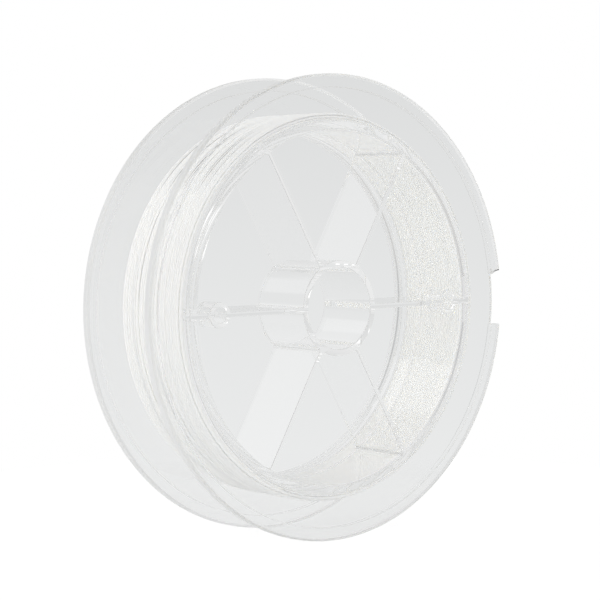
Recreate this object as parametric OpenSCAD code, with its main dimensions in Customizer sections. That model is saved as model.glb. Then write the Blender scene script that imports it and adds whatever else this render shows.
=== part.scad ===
// Fishing line spool, two clear mouldings that press together and carry nylon line.
// The spool stands on its rims: the arbor bore runs along Y, the open ribbed side faces -Y and +Z is up.
// The origin is the centre of the bore, half way between the two rim faces.

/* [Flanges] */
// Diameter over the rims
flange_d = 74; // [66:1:100]
// Width from rim face to rim face
spool_w = 17.6; // [15:0.2:26]
// Thickness of the flange plates
flange_t = 1.1; // [0.8:0.1:1.8]
// How far the rim is wide, measured along the radius
rim_w = 2.1; // [1.4:0.1:3]
// How far the rim stands proud of its flange plate on each face
rim_step = 0.25; // [0.1:0.05:0.5]
// Chamfer on the two outer edges of each rim
rim_chamfer = 0.3; // [0.1:0.05:0.5]

/* [Line notch] */
// Width of the line notch at its floor
notch_w = 8.6; // [5:0.2:12]
// How far the slanted side of the notch opens out from floor to edge
notch_slant = 1.2; // [0.4:0.1:2]

/* [Drum] */
// Depth of the line channel, from the flange's edge to the drum that the line is wound on
channel_depth = 7.4; // [5:0.2:12]
// Thickness of the drum wall
drum_wall = 1.3; // [1.1:0.05:1.8]
// Depth of the back moulding's collar, measured from its rim face
collar_len = 6.2; // [5:0.2:7.4]
// Length of the spigot that the collar fits over
spigot_len = 3; // [2:0.1:3.6]
// Thickness of the spigot
spigot_t = 0.6; // [0.5:0.05:0.8]
// Gap between spigot and collar, on the radius
lap_gap = 0.05; // [0.02:0.01:0.1]
// Gap left past the end of the spigot
spigot_end_gap = 0.1; // [0.05:0.05:0.4]

/* [Hub and ribs] */
// Diameter of the arbor bore
bore_d = 13; // [8:0.5:20]
// Thickness of the hub tube
hub_wall = 1.1; // [0.8:0.1:2]
// Thickness of each rib
rib_t = 0.8; // [0.6:0.1:1.2]

/* [Drive sockets] */
// Outer diameter of the round sockets on two of the ribs
socket_d = 4; // [3.4:0.2:5]
// Bore of the sockets
socket_bore_d = 2.4; // [1.6:0.1:2.8]
// Depth of the sockets
socket_depth = 3; // [2:0.2:6]
// Thickness of the floor that closes each socket
socket_floor = 0.6; // [0.4:0.1:1.2]
// Distance from the inside of the drum wall to the middle of a socket
socket_inset = 4.3; // [3:0.1:6]

/* [Line] */
// Diameter of the line
line_d = 0.45; // [0.3:0.05:0.6]
// Spacing of the turns in the outer layer
line_pitch = 0.9; // [0.8:0.05:1.4]
// Depth of the line that lies under the outer layer
under_wind = 0.45; // [0.4:0.05:3]
// Gap between the line and each flange plate
line_side_gap = 0.45; // [0.2:0.05:1]
// Gap between the outer layer and the line under it
lay_gap = 0.02; // [0.01:0.01:0.1]

/* [Hidden] */
$fn = 96;

CLEAR = [0.84, 0.88, 0.89, 0.55];
CLEAR_EDGE = [0.74, 0.80, 0.82, 0.7];
LINE = [0.93, 0.92, 0.87];
LINE_SHADE = [0.85, 0.84, 0.79];

// Six ribs, a whole turn shared equally; the first lies in line with the notch
rib_count = 6;
rib_step = 360 / rib_count;

// Faces across the width, front first
front_y = -spool_w / 2;
back_y = spool_w / 2;
join_y = back_y - collar_len;
rim_t = flange_t + 2 * rim_step;
front_plate_y = front_y + rim_step;
back_plate_y = back_y - rim_step - flange_t;
channel_w = back_plate_y - front_plate_y - flange_t;

// Radii, from the outside in
flange_r = flange_d / 2;
rim_in_r = flange_r - rim_w;
drum_r = flange_r - channel_depth;
drum_in_r = drum_r - drum_wall;
spigot_r = drum_in_r + spigot_t;
lap_r = spigot_r + lap_gap;
hub_r = bore_d / 2 + hub_wall;
bore_r = bore_d / 2;
socket_x = drum_in_r - socket_inset;
socket_len = socket_depth + socket_floor;

// The outer layer of line. Each turn is 24 straight steps, so its radius is
// enlarged until the middle of each step still clears the line underneath.
turn_steps = 24;
line_sides = 6;
core_r = drum_r + under_wind;
turn_r = (core_r + lay_gap + line_d / 2) / cos(180 / turn_steps);
pack_w = channel_w - 2 * line_side_gap;
turns = floor((pack_w - line_d) / line_pitch);
line_end_angle = 250;
// A hair of overlap on each cutting tool so that no skin is left behind
cut = 1;

// A child that stands on the X-Y plane is turned to run from y0 towards the back
module along_y(y0) {
    translate([0, y0, 0])
        rotate([-90, 0, 0])
            children();
}

// An outline drawn as X and Z is made solid from y0 back to y1
module outline_y(y0, y1) {
    translate([0, y1, 0])
        rotate([90, 0, 0])
            linear_extrude(height = y1 - y0)
                children();
}

// A plain ring round the bore's axis
module ring(outer_r, inner_r, y0, y1) {
    along_y(y0)
        difference() {
            cylinder(r = outer_r, h = y1 - y0);
            translate([0, 0, -cut])
                cylinder(r = inner_r, h = y1 - y0 + 2 * cut);
        }
}

// A child drawn on +X is turned to an angle seen from the front, anticlockwise from the notch
module at_angle(a) {
    rotate([0, -a, 0])
        children();
}

// A rim bead with its two outer edges chamfered
module rim(y0) {
    along_y(y0)
        rotate_extrude()
            polygon([
                [rim_in_r, 0],
                [flange_r - rim_chamfer, 0],
                [flange_r, rim_chamfer],
                [flange_r, rim_t - rim_chamfer],
                [flange_r - rim_chamfer, rim_t],
                [rim_in_r, rim_t]
            ]);
}

// The notch seen from the front: square below, slanted above, its floor on the flange's edge
module notch_cut() {
    reach = rim_w + cut;
    outline_y(front_y - cut, front_y + rim_t + cut)
        polygon([
            [rim_in_r - rim_w, -notch_w / 2],
            [rim_in_r + reach, -notch_w / 2],
            [rim_in_r + reach, notch_w / 2 + notch_slant * reach / rim_w],
            [rim_in_r, notch_w / 2],
            [rim_in_r - rim_w, notch_w / 2]
        ]);
}

module front_rim() {
    color(CLEAR_EDGE)
        difference() {
            rim(front_y);
            notch_cut();
        }
}

module back_rim() {
    color(CLEAR_EDGE)
        rim(back_y - rim_t);
}

module front_flange() {
    color(CLEAR)
        ring(rim_in_r, drum_r, front_plate_y, front_plate_y + flange_t);
}

module back_flange() {
    color(CLEAR)
        ring(rim_in_r, drum_r, back_plate_y, back_plate_y + flange_t);
}

// The drum wall ends in a thinner spigot that carries on inside the back collar
module front_drum_wall() {
    color(CLEAR_EDGE)
        along_y(front_y)
            difference() {
                union() {
                    cylinder(r = drum_r, h = join_y - front_y);
                    cylinder(r = spigot_r, h = join_y - front_y + spigot_len);
                }
                translate([0, 0, -cut])
                    cylinder(r = drum_in_r, h = spool_w + 2 * cut);
            }
}

module back_collar() {
    color(CLEAR_EDGE)
        along_y(join_y)
            difference() {
                cylinder(r = drum_r, h = collar_len);
                translate([0, 0, -cut])
                    cylinder(r = drum_in_r, h = collar_len + 2 * cut);
                translate([0, 0, -cut])
                    cylinder(r = lap_r, h = spigot_len + spigot_end_gap + cut);
            }
}

module hub_tube() {
    color(CLEAR_EDGE)
        ring(hub_r, bore_r, front_y, join_y);
}

// The space that a drive socket takes up, drawn on +X
module socket_space() {
    translate([socket_x, 0, 0])
        along_y(front_y - cut)
            cylinder(d = socket_d, h = socket_len + cut);
}

// A rib is a thin wall from the hub to the drum, shaped at both ends to the curves that it meets
module rib(i) {
    has_socket = i % (rib_count / 2) == 0;
    color(CLEAR)
        at_angle(i * rib_step)
            difference() {
                intersection() {
                    translate([0, front_y, -rib_t / 2])
                        cube([flange_r, join_y - front_y, rib_t]);
                    along_y(front_y)
                        cylinder(r = drum_in_r, h = join_y - front_y);
                }
                along_y(front_y - cut)
                    cylinder(r = hub_r, h = spool_w);
                if (has_socket) socket_space();
            }
}

// A short blind socket let into the front edge of a rib
module drive_socket(a) {
    color(CLEAR_EDGE)
        at_angle(a)
            translate([socket_x, 0, 0])
                along_y(front_y)
                    difference() {
                        cylinder(d = socket_d, h = socket_len);
                        translate([0, 0, -cut])
                            cylinder(d = socket_bore_d, h = socket_depth + cut);
                    }
}

module line_under_layers() {
    color(LINE_SHADE)
        ring(core_r, drum_r, -pack_w / 2, pack_w / 2);
}

// A point of the line at a step of the winding, for a given distance from the axis
function line_point(k, r) =
    let (a = line_end_angle + 360 * k / turn_steps)
    [r * cos(a), line_pitch * (k / turn_steps - turns / 2), r * sin(a)];

// The winding's course: in from the line beneath, round the drum, and back down to it
last_step = turns * turn_steps;
line_course = [
    line_point(0, core_r),
    for (k = [0 : last_step]) line_point(k, turn_r),
    line_point(last_step, core_r)
];

function unit(v) = v / norm(v);

// The direction of the course at point i, half way between the steps on either side
function heading(p, i) =
    let (
        before = i == 0 ? p[1] - p[0] : p[i] - p[i - 1],
        after = i == len(p) - 1 ? before : p[i + 1] - p[i]
    )
    unit(unit(before) + unit(after));

// One ring of the line, mitred so that it keeps its thickness at a corner
function line_ring(p, i) =
    let (
        t = heading(p, i),
        step = i == len(p) - 1 ? p[i] - p[i - 1] : p[i + 1] - p[i],
        side = unit([0, 1, 0] - t[1] * t),
        out = cross(t, side) / (t * unit(step))
    )
    [for (s = [0 : line_sides - 1])
        let (a = 360 * s / line_sides)
        p[i] + line_d / 2 * (cos(a) * side + sin(a) * out)];

// The least gap between one turn and any other, from centre to centre less one line
function least_gap(p) =
    min([for (i = [1 : len(p) - 2], j = [i + turn_steps / 2 : len(p) - 2]) norm(p[j] - p[i])]) - line_d;

module line_outer_layer() {
    p = line_course;
    n = len(p);
    m = line_sides;
    echo(turns = turns, least_gap_mm = least_gap(p));
    color(LINE)
        polyhedron(
            points = [for (i = [0 : n - 1]) each line_ring(p, i)],
            faces = concat(
                [for (i = [0 : n - 2], s = [0 : m - 1])
                    [i * m + s, i * m + (s + 1) % m, (i + 1) * m + s]],
                [for (i = [0 : n - 2], s = [0 : m - 1])
                    [i * m + (s + 1) % m, (i + 1) * m + (s + 1) % m, (i + 1) * m + s]],
                [for (s = [1 : m - 2]) [0, s + 1, s]],
                [for (s = [1 : m - 2]) [(n - 1) * m, (n - 1) * m + s, (n - 1) * m + s + 1]]
            )
        );
}

front_rim();
front_flange();
front_drum_wall();
hub_tube();
for (i = [0 : rib_count - 1])
    rib(i);
drive_socket(0);  // right_drive_socket
drive_socket(180);  // left_drive_socket
back_rim();
back_flange();
back_collar();
line_under_layers();
line_outer_layer();
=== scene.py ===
# %% [markdown]
# # A clear fishing line spool
# The spool is two clear polystyrene mouldings pressed together, with nylon line wound on the drum
# between their flanges. The CAD model fixes every size. This lesson builds the mouldings again as
# single watertight skins, because clear plastic shows each face inside it, and winds the line turn
# by turn. Everything is in metres, in the CAD model's own frame: the bore runs along Y, the open
# ribbed side faces -Y and +Z is up.

# %% Load the CAD model
import math
import random

import bmesh
import bpy
from mathutils import Matrix, Vector


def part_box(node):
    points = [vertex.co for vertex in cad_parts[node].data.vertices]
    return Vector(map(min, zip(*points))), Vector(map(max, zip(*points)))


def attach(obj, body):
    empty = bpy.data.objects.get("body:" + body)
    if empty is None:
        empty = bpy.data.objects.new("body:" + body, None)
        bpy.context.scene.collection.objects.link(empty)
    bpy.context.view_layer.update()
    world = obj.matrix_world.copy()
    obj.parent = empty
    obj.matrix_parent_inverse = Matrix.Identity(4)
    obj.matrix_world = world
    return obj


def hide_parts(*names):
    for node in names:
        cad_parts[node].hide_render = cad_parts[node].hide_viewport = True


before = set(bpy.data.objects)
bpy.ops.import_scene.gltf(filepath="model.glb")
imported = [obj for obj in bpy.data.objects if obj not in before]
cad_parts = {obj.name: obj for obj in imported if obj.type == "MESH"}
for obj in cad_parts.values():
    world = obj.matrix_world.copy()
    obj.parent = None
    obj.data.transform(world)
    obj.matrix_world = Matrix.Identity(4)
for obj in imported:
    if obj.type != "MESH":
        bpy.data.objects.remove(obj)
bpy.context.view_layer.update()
scene = bpy.context.scene
scene.view_settings.view_transform = "Standard"
MM = 0.001
print("CAD nodes:", ", ".join(sorted(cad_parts)))

# %% [markdown]
# ## Camera
# A long lens from the front left, a little above the bore, keeps the two flanges nearly the same
# size. The camera's three axes are given as directions, which is plainer than a set of angles.

# %% Camera
VIEW_RIGHT = Vector((0.76170, -0.64791, -0.00509))
VIEW_UP = Vector((0.04184, 0.04135, 0.99827))
VIEW_FORWARD = Vector((0.64657, 0.76060, -0.05860))

camera_data = bpy.data.cameras.new("camera")
camera_data.lens = 110.93
camera_data.sensor_width = 36
camera_data.clip_start = 0.01
camera = bpy.data.objects.new("camera", camera_data)
axes = Matrix((VIEW_RIGHT, VIEW_UP, -VIEW_FORWARD)).transposed()
camera.matrix_world = Matrix.Translation((-0.19402, -0.22727, 0.01849)) @ axes.to_4x4()
scene.collection.objects.link(camera)
scene.camera = camera
print("camera is", round(camera.location.length * 1000), "mm from the bore's centre")

# %% [markdown]
# ## Two small helpers
# Colours are written as sRGB hex values, as a paint program shows them, and Blender works in linear
# light, so one function converts them. A second function adds a shader node: its inputs are given
# by name, each as a value, as another node or as one of its outputs.

# %% Colour and node helpers
def colour(text):
    """An sRGB hex colour as linear red, green, blue and alpha."""
    parts = [int(text[i : i + 2], 16) / 255 for i in (1, 3, 5)]
    return [c / 12.92 if c <= 0.04045 else ((c + 0.055) / 1.055) ** 2.4 for c in parts] + [1]


def add(tree, kind, inputs=None, **settings):
    """Adds a node of a kind, with its settings, and fills or links its inputs."""
    made = tree.nodes.new("ShaderNode" + kind)
    for name, value in settings.items():
        setattr(made, name, value)
    for name, value in (inputs or {}).items():
        socket = next(s for i, s in enumerate(made.inputs) if s.enabled and name in (i, s.name))
        if isinstance(value, bpy.types.Node):
            value = next(s for s in value.outputs if s.enabled)
        if isinstance(value, bpy.types.NodeSocket):
            tree.links.new(value, socket)
        else:
            socket.default_value = value
    return made


print("mid grey in linear light:", round(colour("#808080")[0], 3))

# %% [markdown]
# ## Studio
# Clear plastic has almost no colour of its own. What shows is the room, bent and mirrored, so the
# room matters more here than any material. Real walls and lamps could be modelled round the spool,
# but a room drawn by direction in the world's shader renders with less noise: a pale grey backdrop
# straight behind the spool, and a dimmer room round it. A straight wall never changes the part of a
# ray that runs along the bore, however often the ray bounces in it, so all that the walls show lies
# on two cones, one round +Y and one round -Y. Both are kept pale. Only a rounded edge looks into
# the dimmer room, which draws it as a thin darker line. The room is paler on the left, which the
# hazy rims turn into a light edge.

# %% World
def ramp(tree, height, stops):
    """A colour for each elevation in degrees, read from the Z part of a direction."""
    scaled = add(tree, "Math", {0: height, 1: 0.5, 2: 0.5}, operation="MULTIPLY_ADD")
    made = add(tree, "ValToRGB", {"Fac": scaled})
    points = made.color_ramp.elements
    while len(points) < len(stops):
        points.new(0.5)
    for point, (degrees, shade) in zip(points, stops):
        point.position = (math.sin(math.radians(degrees)) + 1) / 2
        point.color = colour(shade)
    return made


def facing(tree, direction, toward, reach, fade):
    """1 within an angle of a direction, and 0 further out than that and the fade, in degrees."""
    toward = Vector(toward).normalized()
    ahead = add(tree, "VectorMath", {0: direction, 1: toward}, operation="DOT_PRODUCT")
    return add(tree, "MapRange", {"Value": ahead, "From Min": math.cos(math.radians(reach + fade)),
                                  "From Max": math.cos(math.radians(reach))},
               interpolation_type="SMOOTHSTEP")


world = bpy.data.worlds.new("studio")
scene.world = world
world.use_nodes = True
sky = world.node_tree
sky.nodes.clear()
direction = add(sky, "TexCoord").outputs["Generated"]
height = add(sky, "SeparateXYZ", {0: direction}).outputs["Z"]
backdrop = ramp(sky, height, [(-90, "#F2F2F2"), (-25, "#EEEEEE"), (-9, "#EAEBEB"), (-3, "#E5E6E6"),
                              (1, "#E0E1E1"), (5, "#DADBDB"), (30, "#E6E6E6"), (90, "#FFFFFF")])
room = ramp(sky, height, [(-90, "#EEEFEF"), (-35, "#ECEDED"), (-20, "#BFC0C0"), (-3, "#BCBDBD"),
                          (-1, "#BEBFBF"), (3, "#CACAC8"), (30, "#CCCCCA"), (90, "#CCCCCA")])
ahead = facing(sky, direction, VIEW_FORWARD, reach=22, fade=28)
beyond = facing(sky, direction, (0, 1, 0), reach=42, fade=8)
behind = add(sky, "Math", {0: ahead, 1: beyond}, operation="MAXIMUM")
before = facing(sky, direction, (0, -1, 0), reach=44, fade=8)
left_wall = facing(sky, direction, (-1, -0.3, 0.1), reach=35, fade=30)
room = add(sky, "Mix", {"Factor": left_wall, "A": room, "B": colour("#EEEEED")},
           data_type="RGBA")
around = add(sky, "Mix", {"Factor": behind, "A": room, "B": backdrop}, data_type="RGBA")
around = add(sky, "Mix", {"Factor": before, "A": around, "B": colour("#E4E5E5")}, data_type="RGBA")
print("world nodes:", len(sky.nodes))

# %% [markdown]
# Pale cards hang where the slanting ribs mirror them for the camera, as in any product studio, one
# for each way that the ribs face. Each card's place is the view's own direction, mirrored in the
# rib.

# %% Cards
RISING_RIB_FACES = Vector((-0.866, 0, 0.5))
FALLING_RIB_FACES = Vector((0.866, 0, 0.5))
CARD_REACH, CARD_FADE = 10, 5  # degrees

for rib_faces, brightness in ((RISING_RIB_FACES, 1.12), (FALLING_RIB_FACES, 0.82)):
    card = facing(sky, direction, VIEW_FORWARD.reflect(rib_faces), CARD_REACH, CARD_FADE)
    around = add(sky, "Mix", {"Factor": card, "A": around, "B": [brightness] * 3 + [1]},
                 data_type="RGBA")
print("world nodes with cards:", len(sky.nodes))

# %% [markdown]
# The milky line looks pale because light scatters in it. Light Path counts how often a ray has
# scattered, so what scatters gets a large even light of its own, a little stronger from the left,
# as from a soft box in a pale tent. The clear plastic doesn't mirror it, and its edges don't
# glitter.

# %% Light for the line
EVEN_LIGHT = [0.825, 0.825, 0.813, 1]  # linear light from all round, a little warm
LEFT_LIGHT = [1.2, 1.2, 1.2, 1]

ray = add(sky, "LightPath")
scattered = add(sky, "Math", {0: ray.outputs["Diffuse Depth"], 1: 0.5}, operation="GREATER_THAN")
from_left = facing(sky, direction, (-1, -0.1, 0.25), reach=25, fade=30)
tent = add(sky, "Mix", {"Factor": from_left, "A": EVEN_LIGHT, "B": LEFT_LIGHT}, data_type="RGBA")
around = add(sky, "Mix", {"Factor": scattered, "A": around, "B": tent}, data_type="RGBA")
print("world nodes with the line's light:", len(sky.nodes))

# %% [markdown]
# The page round the spool is white to the camera, but through the open windows the camera sees the
# backdrop's own pale grey, as it does through the plastic beside them. A disc across the bore, of
# nothing but transparent shader, marks those rays: Light Path counts the transparent surfaces that
# a ray has crossed. A real opening would show the page, so this grey is the studio's choice, and
# the disc belongs to the studio and not to the spool.

# %% What the camera sees behind the spool
MARKER_RADIUS = 0.0282  # just inside the drum's wall
MARKER_PLACE = (0, 0.005, 0)

open_window = add(sky, "Math", {0: ray.outputs["Transparent Depth"], 1: 0.5},
                  operation="GREATER_THAN")
page = add(sky, "Mix", {"Factor": open_window, "A": colour("#FFFFFF"), "B": backdrop},
           data_type="RGBA")
seen = add(sky, "Mix", {"Factor": ray.outputs["Is Camera Ray"], "A": around, "B": page},
           data_type="RGBA")
add(sky, "OutputWorld", {"Surface": add(sky, "Background", {"Color": seen, "Strength": 1.0})})

marker_mesh = bpy.data.meshes.new("window_marker")
disc = bmesh.new()
upright = Matrix.Rotation(math.pi / 2, 4, "X")
bmesh.ops.create_circle(disc, cap_ends=True, segments=128, radius=MARKER_RADIUS,
                        matrix=Matrix.Translation(MARKER_PLACE) @ upright)
disc.to_mesh(marker_mesh)
disc.free()
window_marker = bpy.data.objects.new("window_marker", marker_mesh)
scene.collection.objects.link(window_marker)
print("window marker at", [round(v, 3) for v in window_marker.bound_box[0]])

# %% [markdown]
# One wide lamp above gives the floor its soft shadow. The plastic doesn't mirror it, so that the
# room alone decides what the walls and edges show.

# %% Soft box
def soft_box(name, place, size, watts, shade):
    """A square lamp that faces the spool and isn't mirrored in it."""
    data = bpy.data.lights.new(name, "AREA")
    data.size = size
    data.energy = watts
    data.color = colour(shade)[:3]
    lamp = bpy.data.objects.new(name, data)
    lamp.location = place
    lamp.rotation_euler = (-Vector(place)).to_track_quat("-Z", "Y").to_euler()
    lamp.visible_glossy = False
    lamp.visible_transmission = False
    scene.collection.objects.link(lamp)


soft_box("top_box", (0.1, -0.1, 0.9), 0.9, 1, "#FFFEFA")
print("lamps:", len(bpy.data.lights))

# %% [markdown]
# ## Clear polystyrene
# Spools like this are injection moulded in general purpose polystyrene, often called crystal
# styrene. It is water clear and bends light more than acrylic, with an IOR of 1.59, which is what
# gives its edges their bright and dark lines. A polished mould leaves it glossy, but thin walls
# sink and flow as they cool, so the skin ripples slightly over several millimetres. The rims rub on
# benches and on other spools, and their outer edges turn hazy. That blurs what they bend into a
# soft band, where a polished edge would show a row of bright dots. Blender's Glass shader would do
# for a perfect pane, but the Principled shader is the one that other programs also understand.

# %% Clear polystyrene
RIPPLE = 9  # mm from crest to crest of the cooling ripples
RIPPLE_HEIGHT = 0.004  # mm
SCUFF = 1.5  # mm across a patch of haze
SCUFF_FAINT, SCUFF_FULL = 0.55, 0.8  # levels of the noise that draws the patches
SCUFF_ROUGHNESS = 0.01
RUBBED_FROM, RUBBED_FULLY = 36.2, 36.7  # mm from the bore's centre
RUBBED_ROUGHNESS = 0.3
POLYSTYRENE_IOR = 1.59


def finish_material(name):
    """A material with an empty node tree, and that tree."""
    made = bpy.data.materials.new(name)
    made.use_nodes = True
    made.node_tree.nodes.clear()
    return made, made.node_tree


def across_bore(tree, where):
    """A place without its part along the bore. Its length is the distance from the bore's axis."""
    return add(tree, "VectorMath", {0: where, 1: (1, 0, 1)}, operation="MULTIPLY")


# The window marker's own material lets all light pass as if it weren't there
nothing, tree = finish_material("nothing")
add(tree, "OutputMaterial", {"Surface": add(tree, "BsdfTransparent", {"Color": colour("#FFFFFF")})})
marker_mesh.materials.append(nothing)

clear, tree = finish_material("clear_polystyrene_moulded")
where = add(tree, "TexCoord").outputs["Object"]
ripple = add(tree, "TexNoise", {"Vector": where, "Scale": 1000 / RIPPLE, "Detail": 2.0})
scuff = add(tree, "TexNoise", {"Vector": where, "Scale": 1000 / SCUFF, "Detail": 4.0})
haze = add(tree, "MapRange", {"Value": scuff, "From Min": SCUFF_FAINT, "From Max": SCUFF_FULL,
                              "To Min": 0.0, "To Max": SCUFF_ROUGHNESS})
across = across_bore(tree, where)
from_bore = add(tree, "VectorMath", {0: across}, operation="LENGTH").outputs["Value"]
rubbed = add(tree, "MapRange", {"Value": from_bore, "From Min": RUBBED_FROM * MM,
                                "From Max": RUBBED_FULLY * MM,
                                "To Min": 0.0, "To Max": RUBBED_ROUGHNESS})
worn = add(tree, "Math", {0: haze, 1: rubbed}, operation="ADD")
bent = add(tree, "Bump", {"Strength": 1.0, "Distance": RIPPLE_HEIGHT * MM, "Height": ripple})
plastic = add(tree, "BsdfPrincipled", {"Base Color": colour("#FFFFFF"), "Roughness": worn,
                                       "IOR": POLYSTYRENE_IOR, "Transmission Weight": 1.0,
                                       "Normal": bent})
add(tree, "OutputMaterial", {"Surface": plastic})
print(clear.name, "IOR", POLYSTYRENE_IOR)

# %% [markdown]
# ## Nylon line
# Monofilament is nylon drawn through a round die: clear to milky, satin to glossy, with an IOR of
# 1.53. Each turn could be a clear tube, but light loses its way in 82 of them. Here light goes some
# way into each strand and out again, which Subsurface draws, so that the turns melt into one warm
# pearly white. The inner turns are painted a shade whiter, as painted light that makes up for the
# light lost on its way to them through the drum. Over the top of the drum, a little to the left,
# thin dark lines of painted shade lie in a few gaps between the outer turns. They are painted at
# the foot of a strand's flank, so they are chosen by distance from the bore.

# %% Nylon monofilament
NYLON_IOR = 1.53
SCATTER = 0.5  # mm that light goes into a strand
INNER_TURNS, OUTER_TURNS = 30.2, 30.5  # mm from the bore's centre, between the two tints
FLANK, FLANK_FOOT = 30.78, 30.75  # mm from the bore's centre, between which a gap darkens
GAPS_REACH, GAPS_END = 6.3, 6.5  # mm either way from the middle of the drum
GAP_SPACING = 0.9  # mm along the bore, two turns of line
GAP_FAINT, GAP_DARK = 0.48, 0.56  # levels of the noise that picks some gaps
LEFT_OF_TOP = (-0.36, 0, 0.93)  # the middle of the stretch with painted shade, seen from the bore
SHADE_STRETCH_FROM, SHADE_STRETCH_FULLY = 0.84, 0.96  # cosines of the angle from there

nylon, tree = finish_material("nylon_monofilament_drawn")
where = add(tree, "TexCoord").outputs["Object"]
across = across_bore(tree, where)
from_bore = add(tree, "VectorMath", {0: across}, operation="LENGTH").outputs["Value"]
# Painted light: the inner turns are a shade whiter to make up for light lost through the drum
outside = add(tree, "MapRange", {"Value": from_bore, "From Min": INNER_TURNS * MM,
                                 "From Max": OUTER_TURNS * MM})
tint = add(tree, "Mix", {"Factor": outside, "A": colour("#FFFFFE"), "B": colour("#FDFDFC")},
           data_type="RGBA")
# Painted shade: a dark band low on an outer strand's flank, where the gap between two turns lies
flank_foot_shade = add(tree, "MapRange", {"Value": from_bore, "From Min": FLANK * MM,
                                "From Max": FLANK_FOOT * MM})
along = add(tree, "SeparateXYZ", {0: where}).outputs["Y"]
from_middle = add(tree, "Math", {0: along}, operation="ABSOLUTE")
within = add(tree, "MapRange", {"Value": from_middle, "From Min": GAPS_END * MM,
                                "From Max": GAPS_REACH * MM})
gap_count = add(tree, "Math", {0: along, 1: 1000 / GAP_SPACING}, operation="MULTIPLY")
some = add(tree, "TexNoise", {"W": gap_count, "Scale": 1.0, "Detail": 0.0},
           noise_dimensions="1D")
chosen = add(tree, "MapRange", {"Value": some, "From Min": GAP_FAINT, "From Max": GAP_DARK})
outward = add(tree, "VectorMath", {0: across}, operation="NORMALIZE")
over_top = add(tree, "VectorMath", {0: outward, 1: LEFT_OF_TOP}, operation="DOT_PRODUCT")
shade_stretch = add(tree, "MapRange", {"Value": over_top, "From Min": SHADE_STRETCH_FROM,
                               "From Max": SHADE_STRETCH_FULLY})
painted_gap_shade = flank_foot_shade
for part in (chosen, shade_stretch, within):
    painted_gap_shade = add(tree, "Math", {0: painted_gap_shade, 1: part}, operation="MULTIPLY")
# The painted shade of the gaps is mixed into the line's colour as a dark grey
tint = add(tree, "Mix", {"Factor": painted_gap_shade, "A": tint, "B": colour("#7C7C76")}, data_type="RGBA")
strand = add(tree, "BsdfPrincipled", {"Base Color": tint, "Roughness": 0.5, "IOR": NYLON_IOR,
                                      "Subsurface Weight": 1.0,
                                      "Subsurface Radius": (1.0, 0.97, 0.93),
                                      "Subsurface Scale": SCATTER * MM})
add(tree, "OutputMaterial", {"Surface": strand})
print(nylon.name, "IOR", NYLON_IOR, "and nodes:", len(tree.nodes))

# %% [markdown]
# ## Sizes
# These repeat the CAD model's sizes in millimetres. Y is measured along the bore from the middle of
# the spool's width, and angles turn anticlockwise from the notch, as seen from the front.

# %% Sizes
FRONT, BACK, JOIN = -8.8, 8.8, 2.6
PLATE, STEP, RIM_BEVEL = 1.1, 0.25, 0.3
RIM, PLATE_EDGE, DRUM, DRUM_IN = 37.0, 34.9, 29.6, 28.3
SPIGOT, LAP, SPIGOT_END, LAP_END = 28.9, 28.95, 5.6, 5.7
HUB, BORE = 7.6, 6.5
HALF_RIB, RIBS, SOCKET_EVERY = 0.4, 6, 3
SECTOR = 360 // RIBS  # degrees from rib to rib
SOCKET_AT, SOCKET, SOCKET_BORE, SOCKET_DEPTH, SOCKET_BACK = 24.0, 2.0, 1.2, 3.0, 3.6
NOTCH_HALF = 4.3
NOTCH_SLANT = 1.2 / 2.1  # how far the notch's upper side leans out, over the rim's height
EDGE = 0.15  # rounding of the moulded edges
FILLET = 0.35  # fillet where a rib runs into a wall
SOCKET_FILLET = 0.3
FLANGE_FILLET = 0.3  # where a flange meets the drum

low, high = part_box("front_rim")
print("CAD rim radius", round(high.x / MM, 2), "front face", round(low.y / MM, 2))

# %% [markdown]
# ## Outlines
# A moulding has no knife edges: each corner is a small arc, and it catches a thin line of light. An
# outline is written as corners, each with its own radius, and a function draws the arcs. Around the
# bore, all rings share one list of angles, so that flange, drum, ribs and windows meet vertex to
# vertex in one skin.

# %% Rounded outlines
def arc(x, y, radius, start, end, steps):
    """Points on an arc, with both ends, from one angle to another in degrees."""
    turn = [math.radians(start + (end - start) * i / steps) for i in range(steps + 1)]
    return [(x + radius * math.cos(t), y + radius * math.sin(t)) for t in turn]


def rounded(corners, steps=3):
    """An open outline from corners (a, b, radius). The first and last stay as they are."""
    points = [corners[0][:2]]
    for before, (x, y, radius), after in zip(corners, corners[1:], corners[2:]):
        here = Vector((x, y))
        back = (Vector(before[:2]) - here).normalized()
        on = (Vector(after[:2]) - here).normalized()
        half = back.angle(on) / 2
        centre = here + (back + on).normalized() * radius / math.sin(half)
        first = here + back * radius / math.tan(half) - centre
        last = here + on * radius / math.tan(half) - centre
        start = math.degrees(math.atan2(first.y, first.x))
        turn = (math.degrees(math.atan2(last.y, last.x)) - start + 180) % 360 - 180
        points += arc(centre.x, centre.y, radius, start, start + turn, steps)
    return points + [corners[-1][:2]]


print("a rounded right angle has", len(rounded([(0, 0, 0), (1, 0, 0.2), (1, 1, 0)])), "points")

# %% [markdown]
# The list of angles has six short stretches, one behind each rib's end, and six long ones, one
# along each window.

# %% Angles shared by every ring
WINDOW_STEPS = 120
RIB_END_STEPS = 6
PER_SECTOR = RIB_END_STEPS + WINDOW_STEPS
rib_end = math.degrees(math.asin((HALF_RIB + FILLET) / (DRUM_IN - FILLET)))
notch_angle = math.degrees(math.asin(NOTCH_HALF / PLATE_EDGE))

window_angles = []
for k in range(RIBS):
    start, end = SECTOR * k + rib_end, SECTOR * (k + 1) - rib_end
    steps = range(WINDOW_STEPS + 1)
    window_angles.append([start + (end - start) * i / WINDOW_STEPS for i in steps])
# The vertices nearest to the notch's two sides are moved onto them
for sector, side in ((window_angles[0], notch_angle), (window_angles[-1], 360 - notch_angle)):
    nearest = min(range(len(sector)), key=lambda i: abs(sector[i] - side))
    sector[nearest] = side

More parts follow.
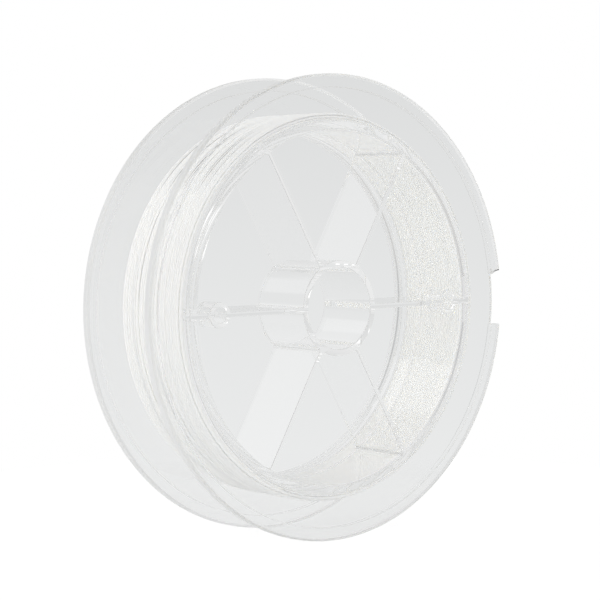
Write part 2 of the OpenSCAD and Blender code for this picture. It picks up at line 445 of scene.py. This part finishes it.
angles = []
for k in range(RIBS):
    angles += [SECTOR * k - rib_end + 2 * rib_end * i / RIB_END_STEPS for i in range(RIB_END_STEPS)]
    angles += window_angles[k][:-1]
print("vertices round a ring:", len(angles))

# %% [markdown]
# ## Skinning
# BMesh is Blender's own mesh library for scripts. Two functions do nearly all of the work: one
# turns an outline round an axis, and one stretches quads between two rows of vertices.

# %% Skinning helpers
SHARPEST = math.radians(40)  # a sharper edge than this keeps a crisp line
FLAT, STRAIGHT = 0.9999, 0.001  # the Y part of a flat face's normal, and of a straight wall's


def skin(bm, one, other, closed):
    """Quads between two rows of vertices."""
    pairs = list(zip(one, other))
    for (a, b), (c, d) in zip(pairs, pairs[1:] + (pairs[:1] if closed else [])):
        bm.faces.new((a, c, d, b))


def row(bm, points, y):
    """A row of vertices at one depth, from (x, z) points in millimetres."""
    return [bm.verts.new((x * MM, y * MM, z * MM)) for x, z in points]


def turned(bm, outline, turns, closed=True, first=None, last=None, centre=(0, 0)):
    """Turns an outline of (radius, y) round an axis. Its end rows may be shared with others."""
    made = []
    for i, (r, y) in enumerate(outline):
        if i == 0 and first:
            made.append(first)
        elif i == len(outline) - 1 and last:
            made.append(last)
        else:
            ring = [(centre[0] + r * math.cos(math.radians(t)),
                     centre[1] + r * math.sin(math.radians(t))) for t in turns]
            made.append(row(bm, ring, y))
    for one, other in zip(made, made[1:]):
        skin(bm, one, other, closed)
    return made


def edges_of(bm, verts, closed=True):
    """The edges along a row of vertices."""
    pairs = zip(verts, verts[1:] + (verts[:1] if closed else []))
    return [bm.edges.get(pair) for pair in pairs if bm.edges.get(pair)]


def flat_fill(bm, edges, normal):
    """Triangles over a flat region bounded by loops of edges, with holes."""
    bmesh.ops.triangle_fill(bm, edges=edges, use_beauty=True, normal=normal)


def corner_normals(bm):
    """A normal for each corner of each face. Flat faces and straight walls keep their own
    direction, so that they stay true windows, and the small arcs between them take up the turn."""
    areas = [face.calc_area() for face in bm.faces]
    found = {}
    for vert in bm.verts:
        fans = {face.index: [face] for face in vert.link_faces}
        for edge in vert.link_edges:
            one, other = (fans[face.index] for face in edge.link_faces)
            if edge.smooth and one is not other:
                one += other
                fans.update((face.index, one) for face in other)
        for index, fan in fans.items():
            true = ([face for face in fan if abs(face.normal.y) > FLAT]
                    or [face for face in fan if abs(face.normal.y) < STRAIGHT] or fan)
            total = sum((face.normal * areas[face.index] for face in true), Vector())
            found[index, vert.index] = total.normalized()
    return [found[face.index, corner.vert.index] for face in bm.faces for corner in face.loops]


def moulding(name, bm, *nodes):
    """Makes the moulding's object from its mesh, with its finish and its place on the part."""
    bmesh.ops.recalc_face_normals(bm, faces=bm.faces)
    for face in bm.faces:
        face.smooth = True
    for edge in bm.edges:
        edge.smooth = edge.calc_face_angle(0) < SHARPEST
    open_edges = sum(not e.is_manifold for e in bm.edges)
    bm.verts.index_update()
    bm.faces.index_update()
    normals = corner_normals(bm)
    mesh = bpy.data.meshes.new(name)
    bm.to_mesh(mesh)
    mesh.normals_split_custom_set(normals)
    volume = bm.calc_volume() / MM**3
    bm.free()
    mesh.materials.append(clear)
    made = bpy.data.objects.new(name, mesh)
    scene.collection.objects.link(made)
    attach(made, "root")
    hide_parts(*nodes)
    print(name, len(mesh.vertices), "vertices,", open_edges, "open edges,", round(volume), "mm3")


print("turned(), skin() and flat_fill() are ready")

# %% [markdown]
# ## Front moulding
# This one holds most of the spool: rim, flange, drum wall, hub, ribs and sockets. It could be put
# together from solids with booleans and bevels, but those leave slivers, and clear plastic shows
# each one, so every face is laid one by one into one skin. The six windows between the ribs are
# drawn first, as closed outlines that can be grown by a small amount, which is how the front
# edges get their rounding: the outline shrinks back to size as it goes in.

# %% Outline of a window
FILLET_STEPS, SOCKET_FILLET_STEPS, SOCKET_STEPS, HUB_STEPS = 4, 3, 16, 14
hub_turn = math.asin((HALF_RIB + FILLET) / (HUB + FILLET))  # half a rib's foot, as an angle


def rib_side(has_socket, grow):
    """One side of a rib as seen along the bore, from hub to drum, with its fillets."""
    hub_x = (HUB + FILLET) * math.cos(hub_turn)
    drum_x = (DRUM_IN - FILLET) * math.cos(math.radians(rib_end))
    centre_z = HALF_RIB + FILLET
    points = [(p, False) for p in
              arc(hub_x, centre_z, FILLET + grow, 180 + math.degrees(hub_turn), 270, FILLET_STEPS)]
    if has_socket:
        small = SOCKET_FILLET
        lean = math.degrees(math.asin((HALF_RIB + small) / (SOCKET + small)))
        reach = (SOCKET + small) * math.cos(math.radians(lean))
        into = arc(SOCKET_AT - reach, HALF_RIB + small, small + grow, 270, 360 - lean,
                   SOCKET_FILLET_STEPS)
        over = arc(SOCKET_AT, 0, SOCKET - grow, 180 - lean, lean, SOCKET_STEPS)
        out = arc(SOCKET_AT + reach, HALF_RIB + small, small + grow, 180 + lean, 270,
                  SOCKET_FILLET_STEPS)
        bump = into + over[1:-1] + out
        points += [(p, 0 < i < len(bump) - 1) for i, p in enumerate(bump)]
    points += [(p, False) for p in
               arc(drum_x, centre_z, FILLET + grow, 270, 360 + rib_end, FILLET_STEPS)]
    return points


def window(k, grow):
    """The outline of a window as (point, in_socket) pairs, and the two ends of its drum arc."""
    def turn(x, z, degrees):
        c, s = math.cos(math.radians(degrees)), math.sin(math.radians(degrees))
        return x * c - z * s, x * s + z * c

    one = [(turn(x, z, SECTOR * k), mark) for (x, z), mark in rib_side(k % SOCKET_EVERY == 0, grow)]
    other = [(turn(x, -z, SECTOR * (k + 1)), mark)
             for (x, z), mark in rib_side((k + 1) % SOCKET_EVERY == 0, grow)]
    radius = DRUM_IN + grow
    drum_arc = [((radius * math.cos(math.radians(t)), radius * math.sin(math.radians(t))), False)
                for t in window_angles[k][1:-1]]
    hub_start = SECTOR * (k + 1) - math.degrees(hub_turn)
    hub_end = SECTOR * k + math.degrees(hub_turn)
    hub_arc = [(p, False) for p in arc(0, 0, HUB - grow, hub_start, hub_end, HUB_STEPS)[1:-1]]
    outline = one + drum_arc + other[::-1] + hub_arc
    return outline, len(one) - 1, len(one) + len(drum_arc)


print("points round a window:", len(window(1, 0)[0]), "and with a socket:", len(window(0, 0)[0]))

# %% [markdown]
# The flange and the drum are turned. Each outline starts inside a flat face, which is filled at the
# end, when all that borders on it is there.

# %% Flange and drum
SHOULDER = PLATE_EDGE - 0.2  # where the rim and the notch's floor part company
DRUM_FACE, HUB_FACE, CUP_FACE, CUP_FLOOR = 29.2, 7.0, 1.6, 0.6  # where outlines start or end

front = bmesh.new()
plate_front, plate_back = FRONT + STEP, FRONT + STEP + PLATE
rim_back = FRONT + PLATE + 2 * STEP

face_side = turned(front, rounded([(DRUM_FACE, FRONT, 0), (DRUM, FRONT, 0.12),
                                   (DRUM, plate_front, 0.12), (SHOULDER, plate_front, 0)]), angles)
channel_side = turned(front, rounded([(SHOULDER, plate_back, 0),
                                      (DRUM, plate_back, FLANGE_FILLET),
                                      (DRUM, JOIN, 0.1), (SPIGOT, JOIN, 0.1),
                                      (SPIGOT, SPIGOT_END, 0.15), (DRUM_IN, SPIGOT_END, 0.15),
                                      (DRUM_IN, JOIN, 0)]), angles)
print("flange and drum:", len(front.faces), "faces")

# %% [markdown]
# The rim runs nearly all the way round. Across the notch, through which the end of the line is led
# in, a lower outline takes its place, and two flat sides close the step between them.

# %% Rim and notch
up, down = angles.index(notch_angle), angles.index(360 - notch_angle)
rim_outline = rounded([(SHOULDER, plate_front, 0), (PLATE_EDGE, plate_front, 0.08),
                       (PLATE_EDGE, FRONT, 0.1), (RIM - RIM_BEVEL, FRONT, 0.1),
                       (RIM, FRONT + RIM_BEVEL, 0.1), (RIM, rim_back - RIM_BEVEL, 0.1),
                       (RIM - RIM_BEVEL, rim_back, 0.1),
                       (PLATE_EDGE, rim_back, 0.1), (PLATE_EDGE, plate_back, 0.08),
                       (SHOULDER, plate_back, 0)])
floor_outline = rounded([(SHOULDER, plate_front, 0), (PLATE_EDGE, plate_front, 0.1),
                         (PLATE_EDGE, plate_back, 0.1), (SHOULDER, plate_back, 0)])
long_way = slice(up, down + 1)
rim = turned(front, rim_outline, angles[long_way], closed=False,
             first=face_side[-1][long_way], last=channel_side[0][long_way])


def short_way(verts):
    return verts[down:] + verts[: up + 1]


notch_floor = turned(front, floor_outline, short_way(angles), closed=False,
                     first=short_way(face_side[-1]), last=short_way(channel_side[0]))

# The notch's sides are flat, so the rim's end rows are slid along their circles onto them. On the
# slanting side, eight rounds are enough to find where circle and side meet.
for (r, y), verts in list(zip(rim_outline, rim))[1:-1]:
    verts[-1].co.z = -NOTCH_HALF * MM
    verts[-1].co.x = math.sqrt(r * r - NOTCH_HALF**2) * MM
    x = r
    for _ in range(8):
        z = NOTCH_HALF + NOTCH_SLANT * max(0, x - PLATE_EDGE)
        x = math.sqrt(r * r - z * z)
    verts[0].co.x, verts[0].co.z = x * MM, z * MM
for side, other in ((0, -1), (-1, 0)):
    floor_side = [verts[other] for verts in notch_floor[-2:0:-1]]
    front.faces.new([verts[side] for verts in rim] + floor_side)
print("with rim and notch:", len(front.faces), "faces")

# %% [markdown]
# The bore takes a spindle, and the two small cups take the pins that turn the spool with it. Both
# are turned too, each with a fine rounding at its mouth.

# %% Bore and drive sockets
BORE_STEPS, CUP_STEPS = 128, 32

bore = turned(front, rounded([(HUB_FACE, FRONT, 0), (BORE, FRONT, EDGE), (BORE, JOIN, EDGE),
                              (HUB_FACE, JOIN, 0)]),
              [360 * i / BORE_STEPS for i in range(BORE_STEPS)])

front_edges = edges_of(front, face_side[0]) + edges_of(front, bore[0])
back_edges = edges_of(front, bore[-1])
for x in (SOCKET_AT, -SOCKET_AT):
    cup = turned(front, rounded([(CUP_FACE, FRONT, 0), (SOCKET_BORE, FRONT, 0.1),
                                 (SOCKET_BORE, FRONT + SOCKET_DEPTH, 0.15),
                                 (CUP_FLOOR, FRONT + SOCKET_DEPTH, 0)]),
                 [360 * i / CUP_STEPS for i in range(CUP_STEPS)], centre=(x, 0))
    front.faces.new(cup[-1])
    front_edges += edges_of(front, cup[0])
print("with bore and sockets:", len(front.faces), "faces")

# %% [markdown]
# Each window's walls go from the front to the joint: first three bands that round the front edge,
# then straight in. The long arc of a window is the drum's own inner wall, so its last row is the
# row of vertices that the drum already has.

# %% Walls of the windows
EDGE_STEPS = 3

ring = channel_side[-1]
for k in range(RIBS):
    outline, arc_start, arc_end = window(k, 0)
    rows = []
    for i in range(EDGE_STEPS + 1):
        lean = math.radians(90 * i / EDGE_STEPS)
        grown = [p for p, mark in window(k, EDGE * (1 - math.sin(lean)))[0]]
        rows.append(row(front, grown, FRONT + EDGE * (1 - math.cos(lean))))
    ledge = row(front, [p for p, mark in outline], FRONT + SOCKET_BACK)
    for one, other in zip(rows, rows[1:] + [ledge]):
        skin(front, one, other, True)
    front_edges += edges_of(front, rows[0])
    # Behind a socket the rib is plain again: a flat ledge closes the socket's back
    marks = [mark for p, mark in outline]
    plain = [i for i, mark in enumerate(marks) if not mark]
    for i, j in zip(plain, plain[1:]):
        if j > i + 1:
            front.faces.new([ledge[n] for n in range(i, j + 1)])
    deep = []
    for i in plain:
        if arc_start <= i <= arc_end:
            deep.append(ring[(PER_SECTOR * k + RIB_END_STEPS + i - arc_start) % len(ring)])
        else:
            deep.append(row(front, [outline[i][0]], JOIN)[0])
    skin(front, [ledge[i] for i in plain], deep, True)
    back_edges += [edge for edge in edges_of(front, deep)
                   if not (edge.verts[0] in ring and edge.verts[1] in ring)]
for k in range(RIBS):
    rib_foot = [ring[(PER_SECTOR * k + i) % len(ring)] for i in range(RIB_END_STEPS + 1)]
    back_edges += edges_of(front, rib_foot, closed=False)
print("with the windows:", len(front.faces), "faces")

# %% [markdown]
# What is left open is flat: the front of the hub, ribs and drum, and their back at the joint.

# %% Close the front moulding
flat_fill(front, front_edges, (0, -1, 0))
flat_fill(front, back_edges, (0, 1, 0))
moulding("front_moulding", front, "front_rim", "front_flange", "front_drum_wall", "hub_tube",
         *[f"rib_{i + 1}" for i in range(RIBS)], "right_drive_socket", "left_drive_socket")

# %% [markdown]
# ## Back moulding
# The back moulding is one turned shape: a rim, a flange and a collar, with a lap inside the collar
# that goes over the front moulding's spigot. A Screw modifier could turn the same outline, but the
# shared angles keep its vertices behind the front moulding's. A hair of air is left at the joint,
# as on a real spool, and it shows as a thin line through the plastic.

# %% Back moulding
JOINT_GAP = 0.03
RIM_FACE = 36  # where the closed outline starts and ends

back = bmesh.new()
rim_front = BACK - PLATE - 2 * STEP
profile = rounded([(RIM_FACE, BACK, 0), (RIM - RIM_BEVEL, BACK, 0.1),
                   (RIM, BACK - RIM_BEVEL, 0.1), (RIM, rim_front + RIM_BEVEL, 0.1),
                   (RIM - RIM_BEVEL, rim_front, 0.1),
                   (PLATE_EDGE, rim_front, 0.1), (PLATE_EDGE, rim_front + STEP, 0.08),
                   (DRUM, rim_front + STEP, FLANGE_FILLET), (DRUM, JOIN + JOINT_GAP, 0.1),
                   (LAP, JOIN + JOINT_GAP, 0.1), (LAP, LAP_END, 0.1), (DRUM_IN, LAP_END, 0.12),
                   (DRUM_IN, BACK, EDGE), (DRUM, BACK, 0.12), (DRUM, BACK - STEP, 0.12),
                   (PLATE_EDGE, BACK - STEP, 0.08), (PLATE_EDGE, BACK, 0.1), (RIM_FACE, BACK, 0)])
rings = turned(back, profile[:-1], angles)
skin(back, rings[-1], rings[0], True)
moulding("back_moulding", back, "back_rim", "back_flange", "back_collar")

# %% [markdown]
# ## The line
# The line is one strand, wound out and back across the drum like thread on a bobbin. A band with
# stripes in its bump would be quicker, but its outline would be smooth where the turns should
# show. So the line is drawn as it is wound: a point travels round the drum, crosses by one spacing
# a turn, and climbs onto the next layer at each flange. The outer layer is looser, so its turns
# wander and cross a little.

# %% Course of the line
LINE = 0.45  # diameter
LAYERS = [(29.86, 29, 0.0), (30.28, 29, 0.03), (30.66, 24, 0.25)]  # radius, turns, wander
HALF_PACK = 6.75  # from the middle to the centre of the last turn
STEPS_PER_TURN = 96
CLIMB = 0.3  # of a turn
START_ANGLE = 250
SWING, SWING_LAG = 1.5, 60  # a loose turn's own swing, in shares of the wander, and degrees
STEADY = 0.6  # share of the swing that is the same in each turn

random.seed(7)


def eased(f):
    """A rise from 0 to 1 that starts and ends gently."""
    return f * f * (3 - 2 * f)


def smooth_random(count):
    """A function that drifts at random between -1 and 1, one value for each turn."""
    values = [random.uniform(-1, 1) for _ in range(count + 2)]

    def value(t):
        i = int(t)
        f = eased(t - i)
        return values[i] * (1 - f) + values[i + 1] * f

    return value


course = []
wound = 0
side = -1
for layer, (radius, turns, wander) in enumerate(LAYERS):
    drift, sway = smooth_random(turns), smooth_random(turns)
    below = LAYERS[max(0, layer - 1)][0]
    for step in range(turns * STEPS_PER_TURN):
        t = step / STEPS_PER_TURN
        climb = eased(min(1, t / CLIMB))
        share = min(1, max(0, (t - CLIMB / 2) / (turns - CLIMB)))
        # The wander grows over the first third of a layer and dies away over its last
        fade = min(1, 3 * t / turns, 3 * (turns - t) / turns)
        y = side * HALF_PACK * (1 - 2 * share)
        swing = SWING * math.sin(math.radians(360 * t - SWING_LAG))
        swing *= STEADY + (1 - STEADY) * sway(t)
        y += wander * fade * (drift(t) + swing)
        a = math.radians(START_ANGLE + 360 * (wound + t))
        r = below + (radius - below) * climb
        course.append(Vector((r * math.cos(a), y, r * math.sin(a))))
    wound += turns
    side = -side
length = sum((b - a).length for a, b in zip(course, course[1:]))
print("turns:", wound, "and length:", round(length / 1000, 2), "m")

# %% [markdown]
# A round section follows the course. Eight sides are enough, because smooth shading rounds them.

# %% Wind the line
SIDES = 8  # of a strand's section
verts, faces = [], []
for i, here in enumerate(course):
    tangent = (course[min(i + 1, len(course) - 1)] - course[max(i - 1, 0)]).normalized()
    out = Vector((here.x, 0, here.z))
    out = (out - out.dot(tangent) * tangent).normalized()
    across_line = tangent.cross(out)
    for s in range(SIDES):
        a = 2 * math.pi * s / SIDES
        verts.append((here + LINE / 2 * (math.cos(a) * out + math.sin(a) * across_line)) * MM)
for i in range(len(course) - 1):
    for s in range(SIDES):
        n = (s + 1) % SIDES
        faces.append((i * SIDES + s, (i + 1) * SIDES + s, (i + 1) * SIDES + n, i * SIDES + n))
faces.append(tuple(range(SIDES)))
faces.append(tuple(reversed(range(len(verts) - SIDES, len(verts)))))
mesh = bpy.data.meshes.new("wound_line")
mesh.from_pydata(verts, [], faces)
mesh.shade_smooth()
mesh.materials.append(nylon)
wound_line = bpy.data.objects.new("wound_line", mesh)
scene.collection.objects.link(wound_line)
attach(wound_line, "root")
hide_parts("line_under_layers", "line_outer_layer")
print("wound_line has", len(verts), "vertices")

# %% [markdown]
# ## Floor
# The spool stands on a small pale disc that fades out at its edge, so that it keeps the soft
# shadow under the rims and the page around it stays white. A wide plane would show its far edge
# across the page behind the spool.

# %% Floor
FLOOR_Z = -0.037
FLOOR_RADIUS = 0.09
FADE_FROM = 0.045  # m from the middle
PAPER, PALE_GREY = "#EFEFEF", "#E3E4E4"
PAGE_STRENGTH = 1.06  # a little over white, to make up for the share of shaded paper
PAGE_SHARE = 0.85

floor_mesh = bpy.data.meshes.new("floor")
disc = bmesh.new()
bmesh.ops.create_circle(disc, cap_ends=True, segments=96, radius=FLOOR_RADIUS)
disc.to_mesh(floor_mesh)
disc.free()
floor = bpy.data.objects.new("floor", floor_mesh)
floor.location.z = FLOOR_Z
scene.collection.objects.link(floor)
print("floor at", FLOOR_Z, "m")

# %% [markdown]
# The disc's paper takes the shadow. To rays that look at it, most of it is a plain tone instead:
# the page's white for the camera, and the backdrop's grey through the windows and in the plastic.

# %% Pale paper
pale, tree = finish_material("pale_paper")
where = add(tree, "TexCoord").outputs["Object"]
from_middle = add(tree, "VectorMath", {0: where}, operation="LENGTH")
body = add(tree, "MapRange", {"Value": from_middle, "From Min": FLOOR_RADIUS,
                              "From Max": FADE_FROM}, interpolation_type="SMOOTHSTEP")
rays = add(tree, "LightPath")
to_camera = rays.outputs["Is Camera Ray"]
paper = add(tree, "BsdfDiffuse", {"Color": colour(PAPER)})
in_window = add(tree, "Math", {0: rays.outputs["Transparent Depth"], 1: 0.5},
                operation="GREATER_THAN")
camera_tone = add(tree, "Mix", {"Factor": in_window, "A": colour("#FFFFFF"),
                                "B": colour(PALE_GREY)}, data_type="RGBA")
tone = add(tree, "Mix", {"Factor": to_camera, "A": colour(PALE_GREY), "B": camera_tone},
           data_type="RGBA")
plain = add(tree, "Emission", {"Color": tone, "Strength": PAGE_STRENGTH})
looked_at = add(tree, "Math", {0: to_camera, 1: rays.outputs["Is Transmission Ray"]},
                operation="ADD")
looked_at = add(tree, "Math", {0: looked_at, 1: rays.outputs["Is Glossy Ray"]}, operation="ADD",
                use_clamp=True)
lifted = add(tree, "Math", {0: looked_at, 1: PAGE_SHARE}, operation="MULTIPLY")
middle = add(tree, "MixShader", {0: lifted, 1: paper, 2: plain})
# To the camera the disc runs on as plain white, which is the page's own colour
page_white = add(tree, "Emission", {"Color": camera_tone, "Strength": PAGE_STRENGTH})
gone = add(tree, "BsdfTransparent", {"Color": colour("#FFFFFF")})
edge = add(tree, "MixShader", {0: to_camera, 1: gone, 2: page_white})
add(tree, "OutputMaterial", {"Surface": add(tree, "MixShader", {0: body, 1: edge, 2: middle})})
floor_mesh.materials.append(pale)
print(pale.name, "has", len(tree.nodes), "nodes")

# %% [markdown]
# ## Finish
# Light crosses many walls of plastic on its way through the spool and scatters often between the
# turns of line, so it is allowed far more bounces than usual. Filter Glossy blurs sharp light to
# save time, but it loses light between clear walls and turns the line grey, so it is off. The
# CAD model's parts stay in the scene, hidden where they are rebuilt.

# %% Finish
BOUNCES = 120
for limit in ("max_bounces", "diffuse_bounces", "glossy_bounces", "transmission_bounces"):
    setattr(scene.cycles, limit, BOUNCES)
scene.cycles.transparent_max_bounces = 40
scene.cycles.blur_glossy = 0
